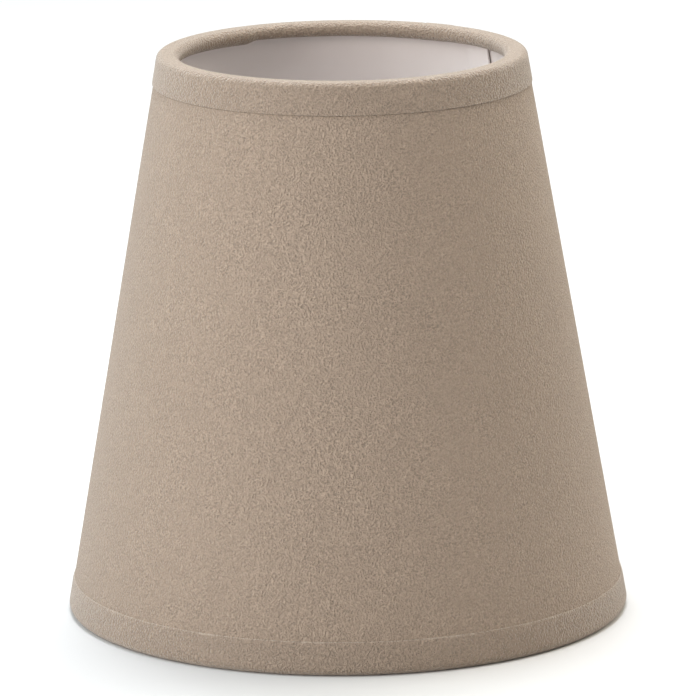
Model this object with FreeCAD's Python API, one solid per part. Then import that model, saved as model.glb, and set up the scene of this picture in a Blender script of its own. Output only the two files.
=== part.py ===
import FreeCAD, Part

import math
import os

# A small tapered hardback lamp shade, in millimetres. +Z is up along its axis, and it stands on z = 0.
# Fabric is laminated on a styrene sheet and rolled to a cone with a lapped side seam. A wire ring holds each
# end, wrapped in a strip of the same fabric. Spokes from the bottom ring carry the fitter.

# Overall shape: the cover's outer face is the line from the bottom radius to the top radius.
HEIGHT = 150.0
WALL_BOTTOM_RADIUS = 74.65
WALL_TOP_RADIUS = 48.35

# Sheet thicknesses
COVER_THICKNESS = 0.45
LINER_THICKNESS = 0.40
TAPE_THICKNESS = 0.15
TRIM_THICKNESS = 0.35

# Rolled edges: a flattened roll of this radius at each side, round a wire
ROLL_RADIUS = 2.025
ROLL_FLAT = 2.12
TOP_TRIM_EDGE = 142.0
BOTTOM_TRIM_EDGE = 8.9
TOP_LAMINATE_EDGE = 148.6
BOTTOM_LAMINATE_EDGE = 2.0
TUCK_WIDTH = 0.8
TUCK_CUT_OVERSHOOT = 1.0

# Side seam, as polar angles from +X in degrees. The inner end starts at SEAM_ANGLE, under the outer end. The
# wall is drawn as this many arcs.
SEAM_ANGLE = 35.0
LAP_ANGLE = 7.5
JOG_ANGLE = 5.0
WALL_ARCS = 3
SEAM_CLEAR_OF_ROLL = 0.25
TAPE_MARGIN_ANGLE = 0.6
TAPE_MARGIN_HEIGHT = 0.6

# Wire frame
RING_WIRE_RADIUS = 1.6
SPOKE_WIRE_RADIUS = 1.3
SPOKE_COUNT = 3
FIRST_SPOKE_ANGLE = 90.0
WELD_DEPTH = 0.3
SPOKE_BEND_RADIUS = 9.0
SPOKE_FOOT_RADIUS = 64.0
SPOKE_HEAD_RADIUS = 31.0
SPOKE_INNER_END = 23.2
SPOKE_OUTER_OVERHANG = 0.8
NOTCH_CLEARANCE = 0.25

# Fitter
FITTER_HEIGHT = 32.0
FITTER_THICKNESS = 1.5
FITTER_OUTER_RADIUS = 27.0
FITTER_HOLE_RADIUS = 21.0
FITTER_EDGE_ROUND = 0.4
REDUCER_BORE_RADIUS = 14.5
REDUCER_FLANGE_RADIUS = 25.0
REDUCER_FLANGE_THICKNESS = 1.6
REDUCER_SPIGOT_RADIUS = 20.7
REDUCER_SPIGOT_DEPTH = 3.6
REDUCER_LEAD_IN = 0.6
REDUCER_RIM_ROUND = 0.64
REDUCER_RIB_COUNT = 6
REDUCER_RIB_HEIGHT = 0.18
REDUCER_RIB_WIDTH = 1.6
REDUCER_RIB_ROOT = 1.0

# Worked out from the above
LAMINATE = COVER_THICKNESS + LINER_THICKNESS
LAP_OFFSET = LAMINATE + TAPE_THICKNESS
SLOPE = (WALL_TOP_RADIUS - WALL_BOTTOM_RADIUS) / HEIGHT
LEAN = math.atan(-SLOPE)
RING_DEPTH = LAMINATE + TRIM_THICKNESS + RING_WIRE_RADIUS
RING_EDGE_GAP = TRIM_THICKNESS + RING_WIRE_RADIUS
LAP_BOTTOM = 2 * ROLL_RADIUS + SEAM_CLEAR_OF_ROLL
LAP_TOP = HEIGHT - LAP_BOTTOM
AXIS = FreeCAD.Vector(0, 0, 1)
ORIGIN = FreeCAD.Vector(0, 0, 0)


def wall_radius(z, depth):
    """Radius at height z of the cone that lies depth inside the cover's outer face, square to it."""
    return WALL_BOTTOM_RADIUS + SLOPE * z - depth / math.cos(LEAN)


def polar(radius, angle, z):
    turn = math.radians(angle)
    return FreeCAD.Vector(radius * math.cos(turn), radius * math.sin(turn), z)


def section_point(radius, z):
    """A point of a cross-section, which is drawn in the XZ plane."""
    return FreeCAD.Vector(radius, 0, z)


def line(start, end):
    return Part.LineSegment(start, end).toShape()


def level_arc(radius, start, end, z):
    stops = [polar(radius, angle, z) for angle in (start, (start + end) / 2, end)]
    return Part.Arc(*stops).toShape()


def revolved(edges):
    return Part.Face(Part.Wire(edges)).revolve(ORIGIN, AXIS, 360)


def revolved_outline(points):
    """The solid of revolution of a closed outline of straight runs, given as (radius, z)."""
    corners = [section_point(radius, z) for radius, z in points]
    return revolved([line(corners[i - 1], corners[i]) for i in range(len(corners))])


def cone_shell(low, high, outer_depth, inner_depth):
    """A closed conical band of the wall between two depths."""
    return revolved_outline(
        [
            (wall_radius(low, outer_depth), low),
            (wall_radius(high, outer_depth), high),
            (wall_radius(high, inner_depth), high),
            (wall_radius(low, inner_depth), low),
        ]
    )


def lapped_section(z, outer_depth, inner_depth):
    """The rolled sheet cut level at z: a tongue under the lap, a jog out to the wall, then a full turn."""
    outer = wall_radius(z, outer_depth)
    inner = wall_radius(z, inner_depth)
    step = LAP_OFFSET / math.cos(LEAN)
    tongue_end = SEAM_ANGLE + LAP_ANGLE
    wall_start = tongue_end + JOG_ANGLE
    wall_end = tongue_end + 360
    stops = [wall_start + (wall_end - wall_start) * i / WALL_ARCS for i in range(WALL_ARCS + 1)]
    edges = [
        level_arc(outer - step, SEAM_ANGLE, tongue_end, z),
        line(polar(outer - step, tongue_end, z), polar(outer, wall_start, z)),
    ]
    edges += [level_arc(outer, stops[i], stops[i + 1], z) for i in range(WALL_ARCS)]
    edges.append(line(polar(outer, wall_end, z), polar(inner, wall_end, z)))
    edges += [level_arc(inner, stops[i + 1], stops[i], z) for i in reversed(range(WALL_ARCS))]
    edges += [
        line(polar(inner, wall_start, z), polar(inner - step, tongue_end, z)),
        level_arc(inner - step, tongue_end, SEAM_ANGLE, z),
        line(polar(inner - step, SEAM_ANGLE, z), polar(outer - step, SEAM_ANGLE, z)),
    ]
    return Part.Wire(edges)


def lapped_sheet(outer_depth, inner_depth):
    """One layer of the wall. Its tongue stops short of the rolls, where the real corners are clipped."""
    sections = [lapped_section(z, outer_depth, inner_depth) for z in (LAP_BOTTOM, LAP_TOP)]
    sheet = Part.makeLoft(sections, True, True)
    sheet = sheet.fuse(cone_shell(BOTTOM_LAMINATE_EDGE, LAP_BOTTOM, outer_depth, inner_depth))
    return sheet.fuse(cone_shell(LAP_TOP, TOP_LAMINATE_EDGE, outer_depth, inner_depth))


def seam_tape():
    """Double-sided tape between the liner of the outer end and the cover of the inner end."""
    start = SEAM_ANGLE + TAPE_MARGIN_ANGLE
    end = SEAM_ANGLE + LAP_ANGLE - TAPE_MARGIN_ANGLE
    sections = []
    for z in (LAP_BOTTOM + TAPE_MARGIN_HEIGHT, LAP_TOP - TAPE_MARGIN_HEIGHT):
        outer = wall_radius(z, LAMINATE)
        inner = wall_radius(z, LAP_OFFSET)
        sections.append(
            Part.Wire(
                [
                    level_arc(outer, start, end, z),
                    line(polar(outer, end, z), polar(inner, end, z)),
                    level_arc(inner, end, start, z),
                    line(polar(inner, start, z), polar(outer, start, z)),
                ]
            )
        )
    return Part.makeLoft(sections, True, True)


def ring_height(side):
    """Height of a ring's wire: side is 1 at the top edge and -1 at the bottom edge."""
    return HEIGHT - RING_EDGE_GAP if side > 0 else RING_EDGE_GAP


def wire_ring(side):
    z = ring_height(side)
    return Part.makeTorus(wall_radius(z, RING_DEPTH), RING_WIRE_RADIUS, section_point(0, z), AXIS)


def trim(side, trim_edge, laminate_edge):
    """A fabric strip: flat on the cover, rolled over the edge and the wire, and tucked in under the wire."""
    roll_z = HEIGHT - ROLL_RADIUS if side > 0 else ROLL_RADIUS
    outer_centre = wall_radius(roll_z, ROLL_RADIUS - TRIM_THICKNESS)
    inner_centre = outer_centre - ROLL_FLAT
    rim_z = roll_z + side * ROLL_RADIUS
    tuck_z = roll_z - side * ROLL_RADIUS
    normal = section_point(math.cos(LEAN), math.sin(LEAN))
    leave = section_point(outer_centre, roll_z) + normal * ROLL_RADIUS
    shoulder_turn = (LEAN + side * math.pi / 2) / 2
    shoulder = section_point(
        outer_centre + ROLL_RADIUS * math.cos(shoulder_turn),
        roll_z + ROLL_RADIUS * math.sin(shoulder_turn),
    )
    hem_outer = section_point(wall_radius(trim_edge, -TRIM_THICKNESS), trim_edge)
    hem_inner = hem_outer - normal * TRIM_THICKNESS
    rim_outer = section_point(outer_centre, rim_z)
    rim_inner = section_point(inner_centre, rim_z)
    belly = section_point(inner_centre - ROLL_RADIUS, roll_z)
    tuck_inner = section_point(inner_centre, tuck_z)
    tuck_outer = section_point(wall_radius(tuck_z, LAMINATE), tuck_z)
    slot_inner = section_point(wall_radius(laminate_edge, LAMINATE), laminate_edge)
    slot_outer = section_point(wall_radius(laminate_edge, 0), laminate_edge)
    roll = revolved(
        [
            line(hem_outer, leave),
            Part.Arc(leave, shoulder, rim_outer).toShape(),
            line(rim_outer, rim_inner),
            Part.Arc(rim_inner, belly, tuck_inner).toShape(),
            line(tuck_inner, tuck_outer),
            line(tuck_outer, slot_inner),
            line(slot_inner, slot_outer),
            line(slot_outer, hem_inner),
            line(hem_inner, hem_outer),
        ]
    )
    return roll.cut(wire_ring(side)).cut(tuck_gap(side, tuck_z))


def tuck_gap(side, tuck_z):
    """The gap beside the strip's tucked edge, between the wire and the liner."""
    z = ring_height(side)
    near = wall_radius(z, RING_DEPTH) + TUCK_WIDTH
    beyond = tuck_z - side * TUCK_CUT_OVERSHOOT
    return revolved_outline(
        [
            (near, beyond),
            (near, z),
            (wall_radius(z, LAMINATE), z),
            (wall_radius(beyond, LAMINATE), beyond),
        ]
    )


def spoke_heights():
    """Heights of a spoke's wire over the bottom ring and under the fitter ring."""
    foot = ring_height(-1) + RING_WIRE_RADIUS + SPOKE_WIRE_RADIUS - WELD_DEPTH
    head = FITTER_HEIGHT - SPOKE_WIRE_RADIUS + WELD_DEPTH
    return foot, head


def spoke_outer_end():
    return wall_radius(ring_height(-1), RING_DEPTH) + SPOKE_OUTER_OVERHANG


def rounded_path(points, radius):
    """Straight runs joined by tangent arcs."""
    edges = []
    start = points[0]
    for before, corner, after in zip(points, points[1:], points[2:]):
        back = (before - corner).normalize()
        on = (after - corner).normalize()
        half = back.getAngle(on) / 2
        reach = radius / math.tan(half)
        middle = (back + on).normalize()
        arc_start = corner + back * reach
        arc_end = corner + on * reach
        arc_middle = corner + middle * (radius / math.sin(half) - radius)
        edges.append(line(start, arc_start))
        edges.append(Part.Arc(arc_start, arc_middle, arc_end).toShape())
        start = arc_end
    edges.append(line(start, points[-1]))
    return Part.Wire(edges)


def spoke_along_x():
    """A wire from the bottom ring up and in to the fitter ring, before it is turned to its place."""
    foot, head = spoke_heights()
    points = [
        section_point(spoke_outer_end(), foot),
        section_point(SPOKE_FOOT_RADIUS, foot),
        section_point(SPOKE_HEAD_RADIUS, head),
        section_point(SPOKE_INNER_END, head),
    ]
    profile = Part.Wire([Part.makeCircle(SPOKE_WIRE_RADIUS, points[0], FreeCAD.Vector(-1, 0, 0))])
    return rounded_path(points, SPOKE_BEND_RADIUS).makePipeShell([profile], True, False)


def spoke_notch_along_x():
    """The snip in the bottom trim that lets a spoke out."""
    foot, _ = spoke_heights()
    radius = SPOKE_WIRE_RADIUS + NOTCH_CLEARANCE
    length = spoke_outer_end() + NOTCH_CLEARANCE - SPOKE_FOOT_RADIUS
    start = section_point(SPOKE_FOOT_RADIUS, foot)
    return Part.makeCylinder(radius, length, start, FreeCAD.Vector(1, 0, 0))


def turned(shape, angle):
    copy = shape.copy()
    copy.rotate(ORIGIN, AXIS, angle)
    return copy


def fitter_ring():
    """A pressed steel washer on the spokes."""
    ring = revolved_outline(
        [
            (FITTER_HOLE_RADIUS, FITTER_HEIGHT),
            (FITTER_OUTER_RADIUS, FITTER_HEIGHT),
            (FITTER_OUTER_RADIUS, FITTER_HEIGHT + FITTER_THICKNESS),
            (FITTER_HOLE_RADIUS, FITTER_HEIGHT + FITTER_THICKNESS),
        ]
    )
    top_edges = [edge for edge in ring.Edges if edge.BoundBox.ZMin > FITTER_HEIGHT + FITTER_THICKNESS / 2]
    return ring.makeFillet(FITTER_EDGE_ROUND, top_edges)


def reducer_ring():
    """A plastic ring whose flange lies on the fitter ring and whose ribbed spigot drops into its hole."""
    seat = FITTER_HEIGHT + FITTER_THICKNESS
    top = seat + REDUCER_FLANGE_THICKNESS
    bottom = seat - REDUCER_SPIGOT_DEPTH
    ring = revolved_outline(
        [
            (REDUCER_BORE_RADIUS, bottom),
            (REDUCER_SPIGOT_RADIUS - REDUCER_LEAD_IN, bottom),
            (REDUCER_SPIGOT_RADIUS, bottom + REDUCER_LEAD_IN),
            (REDUCER_SPIGOT_RADIUS, seat),
            (REDUCER_FLANGE_RADIUS, seat),
            (REDUCER_FLANGE_RADIUS, top - REDUCER_RIM_ROUND),
            (REDUCER_FLANGE_RADIUS - REDUCER_RIM_ROUND, top),
            (REDUCER_BORE_RADIUS, top),
        ]
    )
    rib_bottom = bottom + 2 * REDUCER_LEAD_IN
    rib = Part.makeBox(
        REDUCER_RIB_ROOT + REDUCER_RIB_HEIGHT,
        REDUCER_RIB_WIDTH,
        seat - rib_bottom,
        FreeCAD.Vector(REDUCER_SPIGOT_RADIUS - REDUCER_RIB_ROOT, -REDUCER_RIB_WIDTH / 2, rib_bottom),
    )
    for i in range(REDUCER_RIB_COUNT):
        ring = ring.fuse(turned(rib, 360 / REDUCER_RIB_COUNT * i))
    return ring.removeSplitter()


def parts():
    top_ring = wire_ring(1)
    bottom_ring = wire_ring(-1)
    fitter = fitter_ring()
    bottom_trim = trim(-1, BOTTOM_TRIM_EDGE, BOTTOM_LAMINATE_EDGE)
    made = {
        "fabric_cover": lapped_sheet(0, COVER_THICKNESS),
        "styrene_liner": lapped_sheet(COVER_THICKNESS, LAMINATE),
        "seam_tape": seam_tape(),
        "top_ring": top_ring,
        "bottom_ring": bottom_ring,
        "top_trim": trim(1, TOP_TRIM_EDGE, TOP_LAMINATE_EDGE),
        "fitter_ring": fitter,
        "reducer_ring": reducer_ring(),
    }
    spoke = spoke_along_x().cut(bottom_ring).cut(fitter)
    notch = spoke_notch_along_x()
    for i in range(SPOKE_COUNT):
        angle = FIRST_SPOKE_ANGLE + 360 / SPOKE_COUNT * i
        made[f"fitter_spoke_{i + 1}"] = turned(spoke, angle)
        bottom_trim = bottom_trim.cut(turned(notch, angle))
    made["bottom_trim"] = bottom_trim
    return made


os.makedirs("parts", exist_ok=True)
for name, shape in parts().items():
    solids = shape.Solids
    whole = solids[0] if len(solids) == 1 else Part.makeCompound(solids)
    whole.exportStep(f"parts/{name}.step")
    print(name, "solids", len(solids), "valid", whole.isValid(), "volume", round(whole.Volume, 1))
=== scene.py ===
import math

import bpy
import numpy as np
from mathutils import Matrix, Vector, noise


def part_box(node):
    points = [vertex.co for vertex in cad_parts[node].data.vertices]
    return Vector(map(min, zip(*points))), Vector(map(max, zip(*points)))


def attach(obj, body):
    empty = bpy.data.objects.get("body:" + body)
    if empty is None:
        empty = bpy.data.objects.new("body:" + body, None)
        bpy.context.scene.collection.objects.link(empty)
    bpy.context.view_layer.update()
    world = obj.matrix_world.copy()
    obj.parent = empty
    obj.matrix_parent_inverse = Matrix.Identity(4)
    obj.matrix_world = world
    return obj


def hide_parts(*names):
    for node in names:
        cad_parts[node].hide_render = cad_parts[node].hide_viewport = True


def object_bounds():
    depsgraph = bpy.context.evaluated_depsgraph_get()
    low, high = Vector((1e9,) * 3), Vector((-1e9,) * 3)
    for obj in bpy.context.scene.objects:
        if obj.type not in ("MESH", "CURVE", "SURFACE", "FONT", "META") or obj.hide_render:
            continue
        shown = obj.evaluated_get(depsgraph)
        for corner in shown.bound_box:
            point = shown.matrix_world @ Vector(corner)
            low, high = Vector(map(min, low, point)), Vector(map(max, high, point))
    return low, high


# The looks of a small tapered hardback lamp shade, in metres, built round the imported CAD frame. Fabric is
# laminated on white backing and rolled to a cone. A strip of the same fabric wraps the wire ring at each end.
# Outlines are (radius, height) pairs, swept round the shade's axis. Angles are in degrees.

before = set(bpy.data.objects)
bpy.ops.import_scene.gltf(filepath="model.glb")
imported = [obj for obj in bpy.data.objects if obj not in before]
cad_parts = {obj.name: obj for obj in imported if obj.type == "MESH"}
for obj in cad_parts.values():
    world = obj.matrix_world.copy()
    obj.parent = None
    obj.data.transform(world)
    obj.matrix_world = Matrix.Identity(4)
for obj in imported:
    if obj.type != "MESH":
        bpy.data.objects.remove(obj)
CAD_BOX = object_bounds()
SHADE_CENTRE = (CAD_BOX[0] + CAD_BOX[1]) / 2
MM = 0.001
# CAD vertices this near a height are taken to be at it
LEVEL_TOLERANCE = 0.01 * MM
# Faces that meet at more than this are shaded as a sharp edge
SHARP_ANGLE = 40

# The side seam: the tape's own margins inside the lap, and the bend that brings the sheet out to the wall
TAPE_MARGIN_ANGLE = 0.6
TAPE_MARGIN_HEIGHT = 0.6 * MM
JOG_ANGLE = 5.0
# The cloth is cut back a little from the backing's inner end
COVER_SHORT_ANGLE = 0.5

# The wall's mesh and its faint unevenness
WALL_ROWS = 44
WALL_STEP_ANGLE = 0.66
JOG_STEP_ANGLE = WALL_STEP_ANGLE / 1.5
WALL_WAVE = 0.05 * MM
WALL_WAVE_LENGTH = 45 * MM

# The trims' mesh: its step round the axis, then how many points outline each stretch of the strip
TRIM_STEP_ANGLE = 0.6
HEM_POINTS = 4
BAND_POINTS = 11
CORNER_POINTS = 16
FLAT_POINTS = 3
ROLL_POINTS = 28
TUCK_POINTS = 5
# The tuck's end stops this far short of the backing, as a share of the strip's thickness
TUCK_GAP = 0.6

# The hem's cut edge: how far it bulges, as a share of its thickness, and how high the painted highlight along it
# reaches
HEM_BULGE = 0.3
CUT_EDGE_HEIGHT = 0.25 * MM
# The hem wanders up and down, fading over a length of strip
HEM_WANDER = 0.10 * MM
HEM_WANDER_REACH = 3 * MM
# Near its hem each strip thins, pressed down by the glue
HEM_PRESS_LENGTH = 1.0 * MM
# Gathers and slack start at this share of the strip's width and grow at this rate
SLACK_START = 0.5
SLACK_GROWTH = 2.5
PUCKER_DEPTH = 0.035 * MM
# Noise round a strip: frequency, offset of the seed, and weight of each part
HEM_NOISE = [(9, 0, 1), (31, 5, 0.6)]
PUCKER_NOISE = [(16, 9, 1), (40, 14, 0.5)]

# Where a strip's ends overlap they are glued and pressed: shares of the strip's thickness
JOIN_LAP_LENGTH = 8 * MM
JOIN_RAMP_LENGTH = 1.5 * MM
JOIN_UNDER_SINK = 0.42
JOIN_OVER_LIFT = 0.22
JOIN_GAP = 0.02

# Each strip. side is 1 at the top edge and -1 at the bottom edge, and the ends join at the polar angle join_angle.
# corner is the share of the roll's radius that rounds its outer edge, press the share of the thickness lost at the
# hem, and the key after press how strongly a painted highlight lightens the cut edge. slack is how far the strip
# stands off its wire inside the roll, as (polar angle, depth), eased from one to the next.
TOP_STRIP = {
    "side": 1,
    "join_angle": 52.0,
    "corner": 0.85,
    "press": 0.05,
    "edge_highlight": 0.0,
    "seed": 3.1,
    "slack": [
        (0, 0.05 * MM), (35, -0.08 * MM), (62, 0.06 * MM), (95, -0.12 * MM), (121, -0.28 * MM), (126, 0.48 * MM),
        (158, 0.22 * MM), (200, -0.05 * MM), (243, 0.12 * MM), (290, -0.05 * MM), (325, 0.10 * MM), (360, 0.05 * MM),
    ],
}
BOTTOM_STRIP = {
    "side": -1,
    "join_angle": 58.0,
    "corner": 0.95,
    "press": 0.4,
    "edge_highlight": 0.75,
    "seed": 7.7,
    "slack": [
        (0, 0.0 * MM), (44, 0.12 * MM), (50, -0.05 * MM), (105, 0.10 * MM), (171, -0.05 * MM), (180, 0.15 * MM),
        (246, 0.0 * MM), (302, 0.12 * MM), (310, -0.04 * MM), (360, 0.0 * MM),
    ],
}

# The fitter's washer and the reducer: mesh steps, edge radii, and the reducer's grip ribs
ROUND_STEPS = 5
WASHER_STEP_ANGLE = 2
WASHER_EDGES = [0.2 * MM, 0.2 * MM, 0.45 * MM, 0.45 * MM]
REDUCER_STEP_ANGLE = 0.75
REDUCER_EDGES = [0.3 * MM, 0.15 * MM, 0.1 * MM, 0, 0, 0, 0.25 * MM, 0.55 * MM, 0.4 * MM]
SPIGOT_CLEARANCE = 0.3 * MM
LEAD_IN = 0.6 * MM
RIB_SPACING = 60
RIB_HEIGHT = 0.18 * MM
RIB_HALF_WIDTH = 0.8 * MM
# A rib's flank ends at this multiple of its half width, and its foot slopes up to this multiple of the lead-in
RIB_FLANK = 1.35
RIB_FOOT = 2.6

# Colours are linear. The fabric's threads multiply its colour.
GRAIN_SIZE = 0.25 * MM
COARSE_GRAIN_SIZE = 2.2 * GRAIN_SIZE
GRAIN_HEIGHT = 0.75 * MM
PATCH_SIZE = 5 * MM
CLOUD_SIZE = 25 * MM
THREAD_LOW = (0.73, 0.73, 0.73)
THREAD_HIGH = (1.27, 1.27, 1.27)
FABRIC_LIGHT = (0.370, 0.287, 0.222)
FABRIC_DARK = (0.358, 0.277, 0.214)
# Painted highlight: the pale colour laid along the bottom strip's cut edge
FABRIC_EDGE_HIGHLIGHT = (0.60, 0.50, 0.41)
# Painted shadow: the dark colour and the height of a thin line on the cover just under the top strip's hem
FABRIC_HEM_SHADOW = (0.17, 0.125, 0.09)
HEM_SHADOW_HEIGHT = 0.50 * MM
COVER_TONE = 1.0
COVER_SHEEN = 0.24
TRIM_TONE = 0.93
TRIM_SHEEN = 0.5
SHEEN_ROUGHNESS = 0.4
SHEEN_TINT = (1, 0.98, 0.95, 1)
BACKING_WHITE = (0.85, 0.80, 0.785)
BACKING_SHADE = (0.82, 0.77, 0.755)
TAPE_LIGHT = (0.62, 0.58, 0.48)
TAPE_DARK = (0.52, 0.48, 0.39)
COAT_WHITE = (0.80, 0.80, 0.79)
COAT_SHADE = (0.74, 0.74, 0.73)
COAT_SPECK = (0.45, 0.45, 0.44)
PLASTIC_WHITE = (0.82, 0.82, 0.80)
PLASTIC_SHADE = (0.77, 0.77, 0.75)
FLOOR_GREY = (0.66, 0.66, 0.66, 1)
FLOOR_HALF_WIDTH = 12.0

# Name, azimuth and elevation in degrees, distance, width, watts, colour. Azimuth 0 is in front, 90 at the right.
SOFT_BOXES = [
    ("key_front_left", 321, 18, 1.7, 1.0, 13.5, (1.0, 0.925, 0.88)),
    ("side_left", 270, 35, 1.7, 1.0, 12.1, (0.86, 0.96, 1.0)),
    ("low_left", 300, 5, 1.7, 1.0, 7.7, (0.94, 1.0, 1.0)),
    ("near_left", 315, 50, 0.65, 0.4, 0.8, (0.95, 0.98, 1.0)),
    ("rim_right", 120, 35, 1.7, 1.0, 15.5, (1.0, 0.92, 0.78)),
    ("near_right", 78, 24, 0.65, 0.4, 0.68, (1.0, 0.93, 0.82)),
    ("high_right", 80, 52, 0.65, 0.4, 0.5, (1.0, 0.96, 0.88)),
    ("near_top", 0, 75, 0.65, 0.4, 0.9, (0.98, 1.0, 0.98)),
    ("top_back", 180, 65, 1.7, 1.0, 38.0, (0.93, 0.965, 1.0)),
]

# Camera, for a picture as wide as it is high
CAMERA_PLACE = Vector((0, -1.59174, 0.42994))
CAMERA_AIM = Vector((0.00073, 0, 0.06971))
CAMERA_ROLL = 0.642
CAMERA_LENS = 317.4


# ---- Reading the frame ----


def node_points(node):
    """A CAD node's vertices."""
    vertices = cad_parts[node].data.vertices
    flat = np.empty(len(vertices) * 3, np.float32)
    vertices.foreach_get("co", flat)
    return flat.reshape(-1, 3).astype(float)


def radii_at(node, z):
    """Smallest and largest radius of a CAD node's vertices at height z."""
    points = node_points(node)
    level = points[np.abs(points[:, 2] - z) < LEVEL_TOLERANCE]
    radius = np.hypot(level[:, 0], level[:, 1])
    return radius.min(), radius.max()


def least_radius(node):
    """Smallest radius of a CAD node's vertices."""
    points = node_points(node)
    return np.hypot(points[:, 0], points[:, 1]).min()


def proud_of_wall(node):
    """How far a CAD node's vertices stand out from the cover's outer face, square to it."""
    points = node_points(node)
    radius = np.hypot(points[:, 0], points[:, 1])
    return np.max(radius - wall_radius(points[:, 2], 0)) * math.cos(LEAN)


def polar_range(node):
    """First and last polar angle of a CAD node from +X, in degrees."""
    points = node_points(node)
    angles = np.degrees(np.arctan2(points[:, 1], points[:, 0]))
    return angles.min(), angles.max()


def heights(node):
    """Lowest and highest z of a CAD node."""
    low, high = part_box(node)
    return low.z, high.z


WALL_LOW, WALL_HIGH = heights("fabric_cover")
WALL_FOOT_INNER, WALL_FOOT_RADIUS = radii_at("fabric_cover", WALL_LOW)
WALL_HEAD_RADIUS = radii_at("fabric_cover", WALL_HIGH)[1]
SLOPE = (WALL_HEAD_RADIUS - WALL_FOOT_RADIUS) / (WALL_HIGH - WALL_LOW)
LEAN = math.atan(-SLOPE)
COVER_THICKNESS = (WALL_FOOT_RADIUS - WALL_FOOT_INNER) * math.cos(LEAN)
LAMINATE = (WALL_FOOT_RADIUS - radii_at("styrene_liner", WALL_LOW)[0]) * math.cos(LEAN)
TAPE_LOW, TAPE_HIGH = heights("seam_tape")
LAP_LOW = TAPE_LOW - TAPE_MARGIN_HEIGHT
LAP_HIGH = TAPE_HIGH + TAPE_MARGIN_HEIGHT
LAP_START = polar_range("seam_tape")[0] - TAPE_MARGIN_ANGLE
LAP_END = polar_range("seam_tape")[1] + TAPE_MARGIN_ANGLE


def wall_radius(z, depth):
    """Radius at height z of the cone that lies depth inside the cover's outer face, square to it."""
    return WALL_FOOT_RADIUS + SLOPE * (z - WALL_LOW) - depth / math.cos(LEAN)


LAP_OFFSET = (wall_radius(TAPE_LOW, 0) - radii_at("seam_tape", TAPE_LOW)[0]) * math.cos(LEAN)


# ---- Mesh work ----


def smoothstep(low, high, value):
    """0 below low, 1 above high, and eased between them."""
    share = min(1.0, max(0.0, (value - low) / (high - low)))
    return share * share * (3 - 2 * share)


def ring_noise(turn, frequency, seed):
    """Smooth noise from -1 to 1 round the axis that meets itself after a full turn."""
    return noise.noise(Vector((math.cos(turn) * frequency, math.sin(turn) * frequency, seed)))


def clockwise(outline):
    """Whether a (radius, z) outline runs clockwise, with the radius to the right and z up."""
    r, z = np.array(outline).T
    return np.sum(np.roll(r, -1) * z - r * np.roll(z, -1)) > 0


def swept(name, outline_at, angles, closed):
    """A solid whose closed outline at each polar angle is outline_at(angle), a list of (radius, z)."""
    outlines = [outline_at(angle) for angle in angles]
    count = len(outlines[0])
    if clockwise(outlines[0]):
        outlines = [outline[::-1] for outline in outlines]
    points = []
    for angle, outline in zip(angles, outlines):
        turn = math.radians(angle)
        points += [(r * math.cos(turn), r * math.sin(turn), z) for r, z in outline]
    faces = []
    columns = len(angles)
    for i in range(columns if closed else columns - 1):
        here = i * count
        there = (i + 1) % columns * count
        for j in range(count):
            k = (j + 1) % count
            faces.append((here + j, there + j, there + k, here + k))
    if not closed:
        faces.append(tuple(range(count)))
        faces.append(tuple(reversed(range((columns - 1) * count, columns * count))))
    mesh = bpy.data.meshes.new(name)
    mesh.from_pydata(points, [], faces)
    mesh.update()
    return mesh


def piece(name, mesh, material, body, stands_for):
    """Puts a finished mesh in the scene, on its CAD body and in place of the CAD nodes it stands for."""
    mesh.shade_smooth()
    mesh.set_sharp_from_angle(angle=math.radians(SHARP_ANGLE))
    mesh.materials.append(material)
    made = bpy.data.objects.new(name, mesh)
    bpy.context.scene.collection.objects.link(made)
    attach(made, body)
    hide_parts(*stands_for)
    return made


def spaced(start, end, step):
    """Evenly spaced values from start to end, no further apart than step."""
    count = max(1, math.ceil((end - start) / step))
    return [start + (end - start) * i / count for i in range(count + 1)]


def outward(path):
    """Unit normals of a (radius, z) path, on its right hand side."""
    run = np.gradient(path, axis=0)
    normal = np.stack([run[:, 1], -run[:, 0]], 1)
    return normal / np.linalg.norm(normal, axis=1, keepdims=True)


# ---- Materials ----


def new_material(name):
    """A node material with its Principled shader, and the object's own coordinates in metres."""
    material = bpy.data.materials.new(name)
    material.use_nodes = True
    shader = material.node_tree.nodes["Principled BSDF"]
    coordinates = add(material, "ShaderNodeTexCoord").outputs["Object"]
    return material, shader, coordinates


def add(material, kind, **settings):
    """A new node with its plain settings and its input values."""
    node = material.node_tree.nodes.new(kind)
    for key, value in settings.items():
        if hasattr(node, key):
            setattr(node, key, value)
        else:
            node.inputs[key.replace("_", " ")].default_value = value
    return node


def link(material, output, target):
    material.node_tree.links.new(output, target)


def noise_node(material, coordinates, size, detail=2.0, roughness=0.5, distortion=0.0):
    """Noise whose blobs are about size across, in metres."""
    node = add(
        material, "ShaderNodeTexNoise", Scale=0.5 / size, Detail=detail, Roughness=roughness, Distortion=distortion
    )
    link(material, coordinates, node.inputs["Vector"])
    return node.outputs["Fac"]


def spread(material, value, low=0.3, high=0.7, to_low=0.0, to_high=1.0):
    """value mapped from low..high, where most noise lies, to to_low..to_high, and held there."""
    node = add(material, "ShaderNodeMapRange")
    for key, number in (("From Min", low), ("From Max", high), ("To Min", to_low), ("To Max", to_high)):
        node.inputs[key].default_value = number
    link(material, value, node.inputs["Value"])
    return node.outputs["Result"]


def maths(material, operation, first, second):
    node = add(material, "ShaderNodeMath", operation=operation)
    for socket, value in zip(node.inputs, (first, second)):
        if isinstance(value, bpy.types.NodeSocket):
            link(material, value, socket)
        else:
            socket.default_value = value
    return node.outputs[0]


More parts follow.
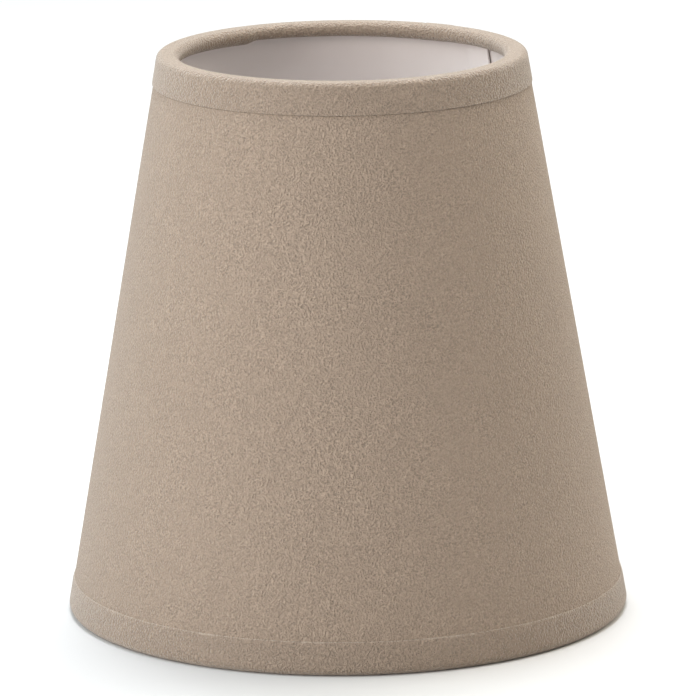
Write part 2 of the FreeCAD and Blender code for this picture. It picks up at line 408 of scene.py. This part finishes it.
def mixed(material, share, first, second, blend="MIX"):
    """Colour mix of two colours or colour outputs."""
    node = add(material, "ShaderNodeMix", data_type="RGBA", blend_type=blend)
    for socket, value in ((node.inputs[0], share), (node.inputs[6], first), (node.inputs[7], second)):
        if isinstance(value, bpy.types.NodeSocket):
            link(material, value, socket)
        elif isinstance(value, tuple):
            socket.default_value = (*value, 1)
        else:
            socket.default_value = value
    return node.outputs[2]


def bump(material, height, distance, strength):
    node = add(material, "ShaderNodeBump", Distance=distance, Strength=strength)
    link(material, height, node.inputs["Height"])
    return node.outputs["Normal"]


def fabric_material(name, tone, sheen, hem_shadow_z=None):
    """Taupe crepe: a fine random grain of light and dark threads, stronger in patches, and a faint sheen.

    A thin painted shadow, standing in for the shade under the top strip's hem, darkens the cloth just under the
    given hem height, where there is one."""
    material, shader, place = new_material(name)
    fine = noise_node(material, place, GRAIN_SIZE, 1.0, 0.5, 0.3)
    coarse = noise_node(material, place, COARSE_GRAIN_SIZE, 2.0, 0.6, 0.8)
    patches = spread(material, noise_node(material, place, PATCH_SIZE, 2.0), 0.35, 0.65, 0.55, 1.0)
    grain = maths(material, "ADD", fine, maths(material, "MULTIPLY", coarse, 0.5))
    link(material, bump(material, grain, GRAIN_HEIGHT, 1.0), shader.inputs["Normal"])
    cloudy = noise_node(material, place, CLOUD_SIZE, 3.0)
    base = mixed(material, spread(material, cloudy), FABRIC_DARK, FABRIC_LIGHT)
    base = mixed(material, 1.0, base, (tone, tone, tone), "MULTIPLY")
    threads = mixed(material, spread(material, fine), THREAD_LOW, THREAD_HIGH)
    grained = mixed(material, 1.0, base, threads, "MULTIPLY")
    colour = mixed(material, patches, base, grained)
    # Painted highlight: a pale band along the cut edge, standing in for light caught by the hem's upturned ledge,
    # broken up by the coarse grain
    cut_edge = add(material, "ShaderNodeAttribute", attribute_name="cut_edge").outputs["Fac"]
    edge_highlight_share = maths(material, "MULTIPLY", cut_edge, spread(material, coarse, 0.35, 0.6, 0.1, 0.8))
    colour = mixed(material, edge_highlight_share, colour, FABRIC_EDGE_HIGHLIGHT)
    # Painted shadow: a thin dark line on the cover just under the top strip's hem, where the strip's edge shades it
    if hem_shadow_z:
        split = add(material, "ShaderNodeSeparateXYZ")
        link(material, place, split.inputs[0])
        line = spread(material, split.outputs["Z"], hem_shadow_z - HEM_SHADOW_HEIGHT, hem_shadow_z - HEM_SHADOW_HEIGHT / 2)
        line = maths(material, "MULTIPLY", line, spread(material, coarse, 0.25, 0.6, 0.3, 0.75))
        colour = mixed(material, line, colour, FABRIC_HEM_SHADOW)
    link(material, colour, shader.inputs["Base Color"])
    link(material, spread(material, fine, to_low=0.78, to_high=0.94), shader.inputs["Roughness"])
    shader.inputs["Specular IOR Level"].default_value = 0.35
    shader.inputs["Sheen Weight"].default_value = sheen
    shader.inputs["Sheen Roughness"].default_value = SHEEN_ROUGHNESS
    shader.inputs["Sheen Tint"].default_value = SHEEN_TINT
    return material


def backing_material():
    """Satin white styrene sheet with a faint extrusion haze."""
    material, shader, place = new_material("white_backing")
    haze = noise_node(material, place, 9 * MM, 3.0)
    colour = mixed(material, spread(material, haze), BACKING_SHADE, BACKING_WHITE)
    link(material, colour, shader.inputs["Base Color"])
    skin = noise_node(material, place, 0.8 * MM, 2.0)
    link(material, spread(material, skin, to_low=0.42, to_high=0.55), shader.inputs["Roughness"])
    link(material, bump(material, skin, 0.02 * MM, 0.3), shader.inputs["Normal"])
    shader.inputs["Specular IOR Level"].default_value = 0.4
    return material


def tape_material():
    """Ivory double-sided tape with a creped carrier."""
    material, shader, place = new_material("seam_tape")
    crepe = noise_node(material, place, 1.2 * MM, 3.0, 0.6, 1.0)
    colour = mixed(material, spread(material, crepe), TAPE_DARK, TAPE_LIGHT)
    link(material, colour, shader.inputs["Base Color"])
    link(material, bump(material, crepe, 0.05 * MM, 0.5), shader.inputs["Normal"])
    shader.inputs["Roughness"].default_value = 0.5
    return material


def powder_coat_material():
    """White powder coat: orange peel, and a few specks."""
    material, shader, place = new_material("white_powder_coat")
    peel = noise_node(material, place, 0.7 * MM, 2.0)
    specks = spread(material, noise_node(material, place, 0.35 * MM, 1.0), 0.72, 0.78)
    wear = spread(material, noise_node(material, place, 7 * MM, 3.0))
    colour = mixed(material, wear, COAT_SHADE, COAT_WHITE)
    colour = mixed(material, maths(material, "MULTIPLY", specks, 0.3), colour, COAT_SPECK)
    link(material, colour, shader.inputs["Base Color"])
    link(material, bump(material, peel, 0.06 * MM, 0.35), shader.inputs["Normal"])
    link(material, spread(material, peel, to_low=0.30, to_high=0.42), shader.inputs["Roughness"])
    shader.inputs["Coat Weight"].default_value = 0.2
    shader.inputs["Coat Roughness"].default_value = 0.25
    return material


def moulded_material():
    """Moulded white plastic with a fine spark-eroded grain."""
    material, shader, place = new_material("moulded_white")
    grain = noise_node(material, place, 0.25 * MM, 2.0)
    flow = spread(material, noise_node(material, place, 12 * MM, 2.0, 0.5, 1.0))
    colour = mixed(material, flow, PLASTIC_SHADE, PLASTIC_WHITE)
    link(material, colour, shader.inputs["Base Color"])
    link(material, bump(material, grain, 0.03 * MM, 0.35), shader.inputs["Normal"])
    link(material, spread(material, grain, to_low=0.38, to_high=0.5), shader.inputs["Roughness"])
    return material


def floor_material():
    """Matt and pale grey. The lights bring it to white."""
    material, shader, _ = new_material("pale_floor")
    shader.inputs["Base Color"].default_value = FLOOR_GREY
    shader.inputs["Roughness"].default_value = 0.9
    shader.inputs["Specular IOR Level"].default_value = 0.1
    return material


# ---- The wall ----


def lap_offset(angle):
    """How far inside the wall the sheet runs: under the lap, then out over the bend."""
    return LAP_OFFSET * (1 - smoothstep(LAP_END, LAP_END + JOG_ANGLE, angle))


def wall_wave(angle, z):
    """The faint unevenness of a laminate that was rolled by hand."""
    radius = wall_radius(z, 0)
    turn = math.radians(angle)
    place = Vector((radius * math.cos(turn), radius * math.sin(turn), z)) / WALL_WAVE_LENGTH
    return WALL_WAVE * noise.noise(place)


def wall_outline(angle, outer_depth, inner_depth):
    """One layer of the wall, cut through at a polar angle. Its tongue is clipped short of the rolls."""
    out = smoothstep(LAP_END, LAP_END + JOG_ANGLE, angle)
    low = LAP_LOW + (WALL_LOW - LAP_LOW) * out
    high = LAP_HIGH + (WALL_HIGH - LAP_HIGH) * out
    offset = lap_offset(angle)
    rows = [low + (high - low) * i / WALL_ROWS for i in range(WALL_ROWS + 1)]
    outer = [(wall_radius(z, outer_depth + offset) + wall_wave(angle, z), z) for z in rows]
    inner = [(wall_radius(z, inner_depth + offset) + wall_wave(angle, z), z) for z in reversed(rows)]
    return outer + inner


def wall_angles(start):
    """Polar angles of a rolled sheet from its inner end, at start, to its outer end, closest at the bend."""
    wall_start = LAP_END + JOG_ANGLE
    tongue = spaced(start, LAP_END, WALL_STEP_ANGLE)[:-1]
    jog = spaced(LAP_END, wall_start, JOG_STEP_ANGLE)[:-1]
    return tongue + jog + spaced(wall_start, LAP_END + 360, WALL_STEP_ANGLE)


def build_wall(fabric, backing):
    angles = wall_angles(LAP_START + COVER_SHORT_ANGLE)
    cover = swept("cover", lambda angle: wall_outline(angle, 0, COVER_THICKNESS), angles, False)
    cover = piece("cover", cover, fabric, "shade", ["fabric_cover"])
    angles = wall_angles(LAP_START)
    liner = swept("liner", lambda angle: wall_outline(angle, COVER_THICKNESS, LAMINATE), angles, False)
    piece("liner", liner, backing, "shade", ["styrene_liner"])


# ---- The trims ----


def between(start, end_radius, count):
    """Evenly spaced points on a level line from start to end_radius, without its two ends."""
    radius, z = start
    return [(radius + (end_radius - radius) * i / (count + 1), z) for i in range(1, count + 1)]


def trim_path(node, side, corner):
    """The strip's outer face from its hem, along the wall, round the roll and in under the wire, as (radius, z),
    and the strip's thickness. The bottom strip is worked out as a mirror image in z."""
    low, high = heights(node)
    rim_z = high if side > 0 else low
    hem_z = low if side > 0 else high
    rim_inner = radii_at(node, rim_z)[0]
    roll_radius = rim_inner - least_radius(node)
    thickness = proud_of_wall(node)
    roll_z = rim_z - side * roll_radius
    corner_radius = roll_radius * corner
    corner_z = rim_z - side * corner_radius
    corner_r = wall_radius(corner_z, corner_radius - thickness)
    leave_z = corner_z + corner_radius * math.sin(LEAN)
    press_z = hem_z + side * HEM_PRESS_LENGTH
    hem_rows = np.linspace(hem_z, press_z, HEM_POINTS + 1)[:-1]
    rows = np.concatenate([hem_rows, np.linspace(press_z, leave_z, BAND_POINTS + 1)[:-1]])
    band = [(wall_radius(z, -thickness), z) for z in rows]

    def arc(centre_r, centre_z, radius, turns):
        return [(centre_r + radius * math.cos(t), centre_z + side * radius * math.sin(t)) for t in turns]

    outer = arc(corner_r, corner_z, corner_radius, np.linspace(side * LEAN, math.pi / 2, CORNER_POINTS))
    flat = between((corner_r, rim_z), rim_inner, FLAT_POINTS)
    inner = arc(rim_inner, roll_z, roll_radius, np.radians(np.linspace(90, 270, ROLL_POINTS)))
    tuck_z = roll_z - side * roll_radius
    tuck = between((rim_inner, tuck_z), wall_radius(tuck_z, LAMINATE) - thickness * TUCK_GAP, TUCK_POINTS)
    return np.array(band + outer + flat + inner + tuck), thickness


def slack_at(angle, slack):
    """Depth of the slack at a polar angle, eased between its neighbours in the list."""
    angle %= 360
    for (low, before), (high, after) in zip(slack, slack[1:]):
        if angle <= high:
            return before + (after - before) * smoothstep(low, high, angle)


def mark_cut_edge(mesh, hem_z, side, edge_highlight):
    """A point attribute that holds the strength of a painted highlight on a strip's cut edge, and is 0 elsewhere."""
    edge = mesh.attributes.new("cut_edge", "FLOAT", "POINT")
    for vertex, mark in zip(mesh.vertices, edge.data):
        mark.value = edge_highlight if (hem_z - vertex.co.z) * side > -CUT_EDGE_HEIGHT else 0.0


def summed_noise(turn, parts, seed):
    return sum(weight * ring_noise(turn, frequency, seed + offset) for frequency, offset, weight in parts)


def build_trim(name, node, fabric, side, join_angle, corner, press, edge_highlight, seed, slack):
    """A strip whose lapped ends join at join_angle, swept a little more than once round the axis."""
    path, thickness = trim_path(node, side, corner)
    along = np.concatenate([[0], np.cumsum(np.linalg.norm(np.diff(path, axis=0), axis=1))])
    normal = outward(path) * side
    run = (path[0] - path[1]) / np.linalg.norm(path[0] - path[1])
    low, high = heights(node)
    hem_z = path[0, 1]
    lap_angle = math.degrees(JOIN_LAP_LENGTH / path[0, 0])
    ramp_angle = math.degrees(JOIN_RAMP_LENGTH / path[0, 0])
    under_end = join_angle + lap_angle
    over_start = join_angle + 360
    end_angle = over_start + lap_angle
    belly = along[-1] * SLACK_START
    inside = np.clip((along - belly) / (along[-1] - belly) * SLACK_GROWTH, 0, 1)
    near_hem = np.clip(1 - along / HEM_WANDER_REACH, 0, 1)
    pressed = np.clip(1 - along / HEM_PRESS_LENGTH, 0, 1)

    def outline_at(angle):
        turn = math.radians(angle)
        under = 1 - smoothstep(under_end, under_end + ramp_angle, angle)
        over = smoothstep(over_start - ramp_angle, over_start, angle)
        outer_shift = thickness * (JOIN_OVER_LIFT * over - JOIN_UNDER_SINK * under)
        inner_shift = thickness * (1 - (1 + JOIN_GAP - JOIN_UNDER_SINK) * over)
        gather = PUCKER_DEPTH * summed_noise(turn, PUCKER_NOISE, seed) + slack_at(angle, slack)
        wander = HEM_WANDER * summed_noise(turn, HEM_NOISE, seed)
        base = path + normal * (gather * inside)[:, None]
        base += (near_hem * wander)[:, None] * run
        outer = base + normal * (outer_shift - thickness * press * pressed)[:, None]
        outer[:, 1] = np.clip(outer[:, 1], low, high)
        inner = base - normal * inner_shift
        hem = (outer[0] + inner[0]) / 2 + run * np.linalg.norm(outer[0] - inner[0]) * HEM_BULGE
        return [tuple(p) for p in outer] + [tuple(p) for p in inner[::-1]] + [tuple(hem)]

    angles = spaced(join_angle, end_angle, TRIM_STEP_ANGLE)
    mesh = swept(name, outline_at, angles, False)
    mark_cut_edge(mesh, hem_z, side, edge_highlight)
    strip = piece(name, mesh, fabric, "shade", [node])
    length = math.radians(end_angle - join_angle) * wall_radius(hem_z, 0)


# ---- The fitter ----


def rounded_outline(corners, radii):
    """A closed (radius, z) outline with each corner rounded by its own radius."""
    points = []
    for i, corner in enumerate(corners):
        here = Vector(corner)
        back = (Vector(corners[i - 1]) - here).normalized()
        on = (Vector(corners[(i + 1) % len(corners)]) - here).normalized()
        half = back.angle(on) / 2
        reach = radii[i] / math.tan(half)
        if radii[i] == 0:
            points.append(tuple(here))
            continue
        centre = here + (back + on).normalized() * (radii[i] / math.sin(half))
        first = here + back * reach - centre
        last = here + on * reach - centre
        total = first.angle_signed(last)
        for k in range(ROUND_STEPS + 1):
            points.append(tuple(centre + Matrix.Rotation(-total * k / ROUND_STEPS, 2) @ first))
    return points


def build_fitter(coat):
    low, high = heights("fitter_ring")
    hole = least_radius("fitter_ring")
    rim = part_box("fitter_ring")[1].x
    corners = [(hole, low), (rim, low), (rim, high), (hole, high)]
    outline = rounded_outline(corners, WASHER_EDGES)
    mesh = swept("fitter_washer", lambda angle: outline, spaced(0, 360, WASHER_STEP_ANGLE)[:-1], True)
    piece("fitter_washer", mesh, coat, "shade", ["fitter_ring"])


def build_reducer(moulded):
    low, high = heights("reducer_ring")
    bore = least_radius("reducer_ring")
    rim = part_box("reducer_ring")[1].x
    seat = heights("fitter_ring")[1]
    spigot = least_radius("fitter_ring") - SPIGOT_CLEARANCE
    rib_half_angle = math.degrees(RIB_HALF_WIDTH / spigot)

    def outline_at(angle):
        from_rib = abs((angle + RIB_SPACING / 2) % RIB_SPACING - RIB_SPACING / 2)
        rib = RIB_HEIGHT * (1 - smoothstep(rib_half_angle, rib_half_angle * RIB_FLANK, from_rib))
        corners = [
            (bore, low),
            (spigot - LEAD_IN, low),
            (spigot, low + LEAD_IN),
            (spigot, low + 2 * LEAD_IN),
            (spigot + rib, low + RIB_FOOT * LEAD_IN),
            (spigot + rib, seat),
            (rim, seat),
            (rim, high),
            (bore, high),
        ]
        return rounded_outline(corners, REDUCER_EDGES)

    mesh = swept("reducer", outline_at, spaced(0, 360, REDUCER_STEP_ANGLE)[:-1], True)
    piece("reducer", mesh, moulded, "reducer", ["reducer_ring"])


def dress_frame(coat, tape):
    """The wire frame and the seam tape keep their CAD shapes and get finished materials."""
    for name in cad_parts:
        if name.startswith("fitter_spoke") or name in ("top_ring", "bottom_ring"):
            finish_node(name, coat)
    finish_node("seam_tape", tape)


def finish_node(name, material):
    """Gives a CAD node that stays in sight its finished material."""
    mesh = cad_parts[name].data
    mesh.materials.clear()
    mesh.materials.append(material)


# ---- Stage, lights and camera ----


def build_floor():
    mesh = bpy.data.meshes.new("floor")
    half = FLOOR_HALF_WIDTH
    corners = [(-half, -half, 0), (half, -half, 0), (half, half, 0), (-half, half, 0)]
    mesh.from_pydata(corners, [], [(0, 1, 2, 3)])
    mesh.materials.append(floor_material())
    floor = bpy.data.objects.new("floor", mesh)
    bpy.context.scene.collection.objects.link(floor)


def area_light(name, azimuth, elevation, distance, size, power, colour):
    """A square soft box aimed at the shade."""
    lamp = bpy.data.lights.new(name, "AREA")
    lamp.size = size
    lamp.energy = power
    lamp.color = colour
    made = bpy.data.objects.new(name, lamp)
    turn = math.radians(azimuth)
    rise = math.radians(elevation)
    away = Vector((math.sin(turn) * math.cos(rise), -math.cos(turn) * math.cos(rise), math.sin(rise)))
    made.location = SHADE_CENTRE + away * distance
    made.rotation_euler = (-away).to_track_quat("-Z", "Y").to_euler()
    bpy.context.scene.collection.objects.link(made)


def build_world():
    """A black world: the soft boxes give all the light."""
    world = bpy.data.worlds.new("studio")
    world.use_nodes = True
    background = world.node_tree.nodes["Background"]
    background.inputs["Strength"].default_value = 0
    bpy.context.scene.world = world


def build_camera():
    lens = bpy.data.cameras.new("camera")
    lens.lens = CAMERA_LENS
    lens.clip_end = 50
    camera = bpy.data.objects.new("camera", lens)
    look = (CAMERA_AIM - CAMERA_PLACE).to_track_quat("-Z", "Y").to_matrix()
    roll = Matrix.Rotation(math.radians(-CAMERA_ROLL), 3, "Z")
    camera.location = CAMERA_PLACE
    camera.rotation_euler = (look @ roll).to_euler()
    bpy.context.scene.collection.objects.link(camera)
    bpy.context.scene.camera = camera


cover_fabric = fabric_material("cover_fabric", COVER_TONE, COVER_SHEEN, heights("top_trim")[0])
trim_fabric = fabric_material("trim_fabric", TRIM_TONE, TRIM_SHEEN)
coat = powder_coat_material()
build_wall(cover_fabric, backing_material())
build_trim("top_trim_strip", "top_trim", trim_fabric, **TOP_STRIP)
build_trim("bottom_trim_strip", "bottom_trim", trim_fabric, **BOTTOM_STRIP)
build_fitter(coat)
build_reducer(moulded_material())
dress_frame(coat, tape_material())

build_floor()
build_world()
for box in SOFT_BOXES:
    area_light(*box)
build_camera()
bpy.context.scene.view_settings.view_transform = "Standard"
